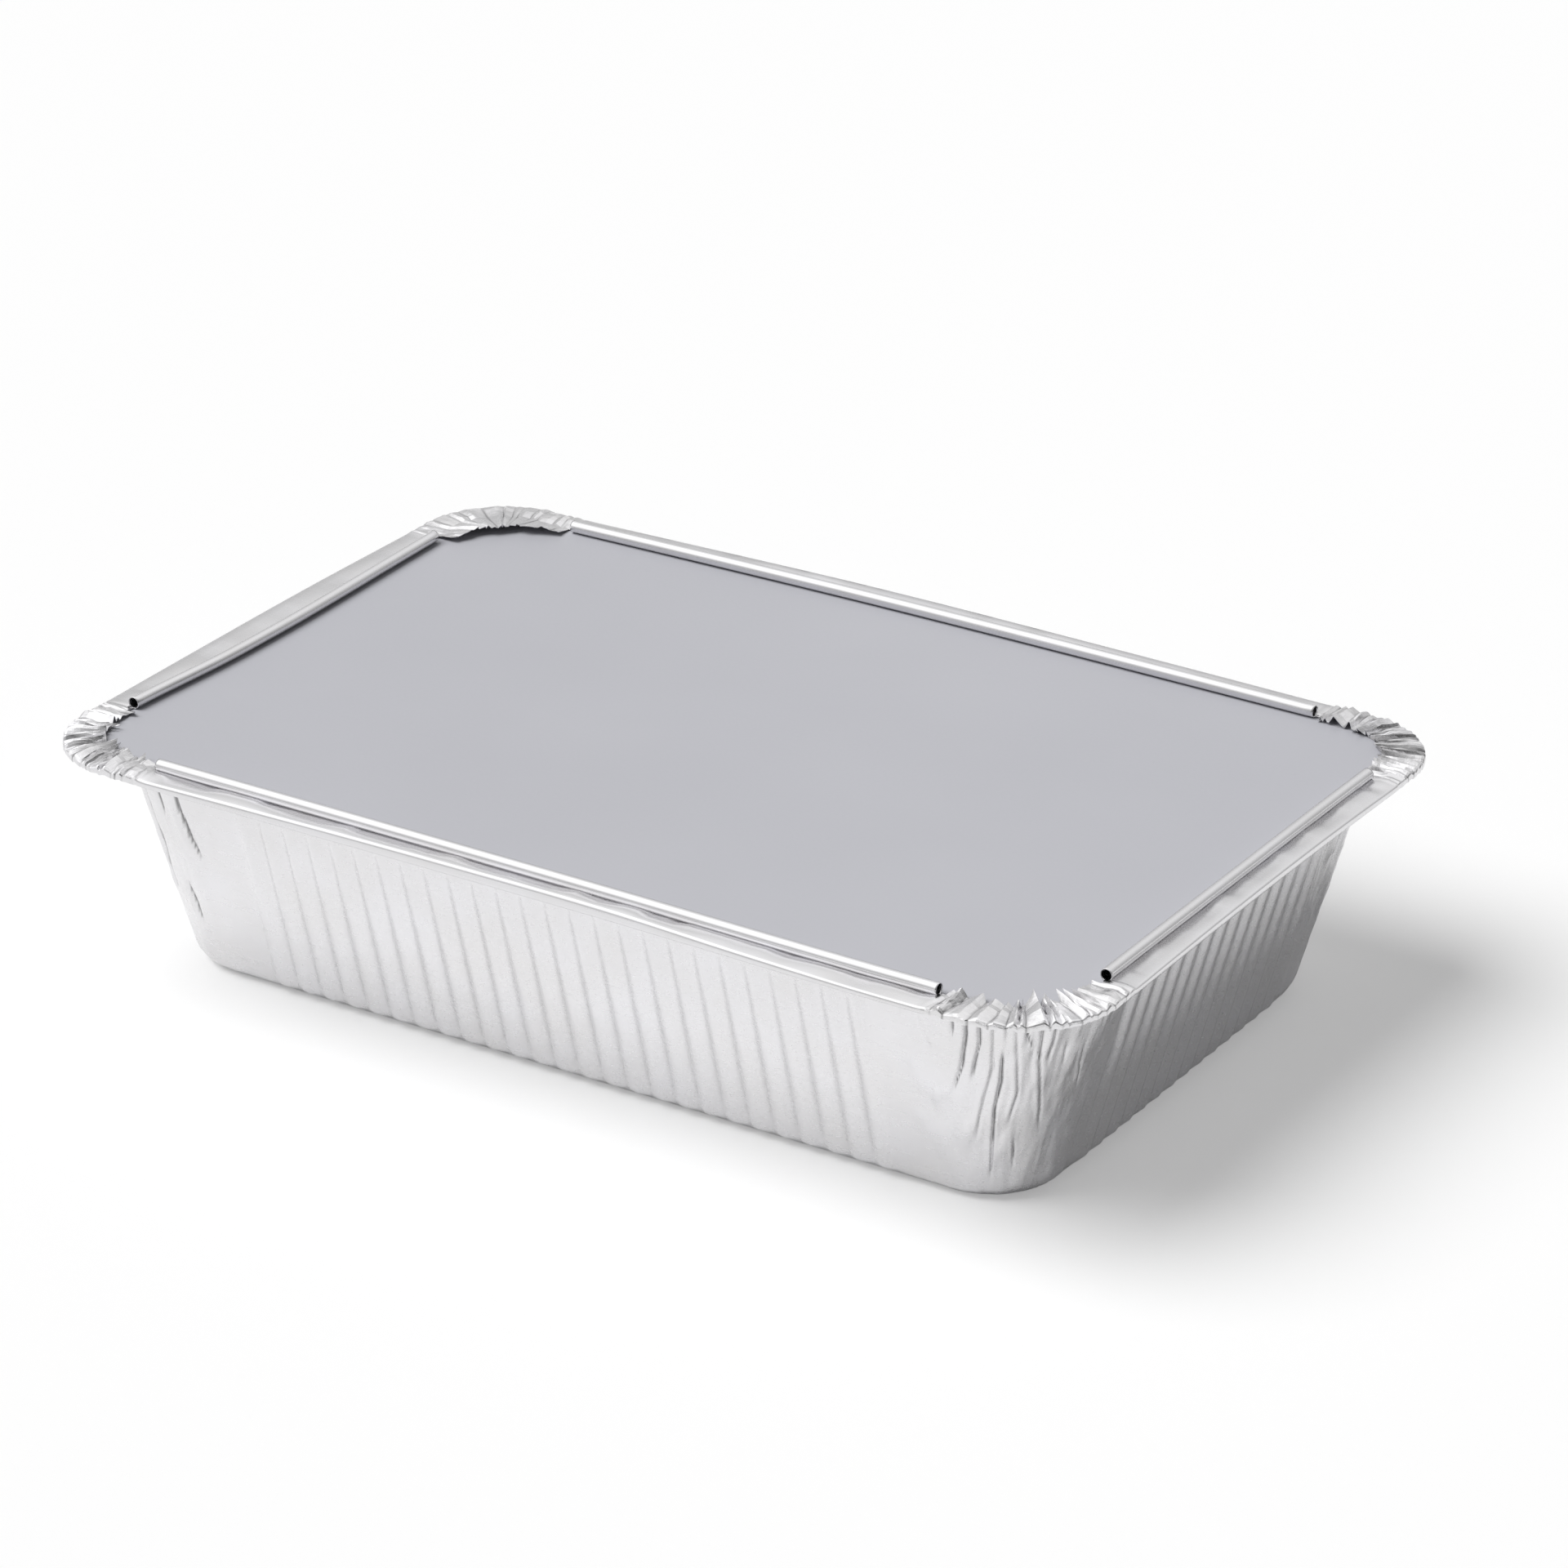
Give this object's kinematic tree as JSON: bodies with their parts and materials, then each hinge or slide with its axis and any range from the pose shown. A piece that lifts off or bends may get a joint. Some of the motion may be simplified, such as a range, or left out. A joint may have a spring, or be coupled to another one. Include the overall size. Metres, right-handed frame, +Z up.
{
  "type": "foil food container",
  "caption": "Rectangular pressed foil food tray with ribbed walls and a rolled rim folded in over a flat card lid, gathered in pleats at its round corners.",
  "frame": {"origin": "centre of the base, on the plane it rests on", "axes": "+X along the length, +Y along the width, +Z up through the lid"},
  "size_m": [0.22, 0.146, 0.0481],
  "materials": {
    "foil": "rolled foil, satin with a bright rim, faintly crinkled",
    "lid": "card with a satin grey laminate"
  },
  "bodies": {
    "root": {"foil_tray": "foil", "card_lid": "lid"}
  },
  "joints": []
}
